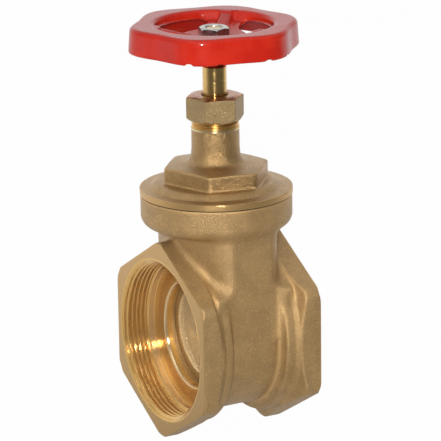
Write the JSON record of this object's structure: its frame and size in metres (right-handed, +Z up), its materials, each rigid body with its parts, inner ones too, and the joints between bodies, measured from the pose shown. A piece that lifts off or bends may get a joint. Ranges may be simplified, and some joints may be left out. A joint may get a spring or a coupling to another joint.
{
  "type": "brass gate valve",
  "caption": "Screwed-bonnet brass gate valve with female threaded ports, a wedge gate on a non-rising stem and a lobed red handwheel.",
  "frame": {"origin": "on the pipe axis, where the thread of the inlet port at the -X end begins", "axes": "+X along the pipe from inlet to outlet, +Z up the stem towards the handwheel"},
  "size_m": [0.0796, 0.0838, 0.1953],
  "materials": {
    "cast_brass": "shot-blasted casting",
    "turned_brass": "turned and bright",
    "joint_sheet": "matt fibre sheet",
    "packing_cord": "braided cord",
    "red_enamel": "glossy stoved enamel on pressed steel",
    "zinc_plate": "bright zinc plate"
  },
  "bodies": {
    "valve_body": {"body": "cast_brass", "bonnet": "cast_brass", "joint_ring": "joint_sheet", "packing": "packing_cord", "gland_ring": "turned_brass", "gland_nut": "cast_brass"},
    "spindle": {"stem": "turned_brass", "handwheel": "red_enamel", "wheel_nut": "zinc_plate"},
    "wedge": {"gate": "cast_brass"}
  },
  "joints": [
    {"name": "handwheel_turn", "type": "hinge", "parent": "valve_body", "child": "spindle", "pos_m": [0.0298, 0, 0.1479], "axis": [0, 0, 1], "range_deg": [0, 6240]},
    {"name": "gate_lift", "type": "slide", "parent": "valve_body", "child": "wedge", "axis": [0, 0, 1], "range_m": [0, 0.052]}
  ],
  "couplings": [
    {"joint": "handwheel_turn", "follows": "gate_lift", "rad_per_m": 2094.4}
  ]
}
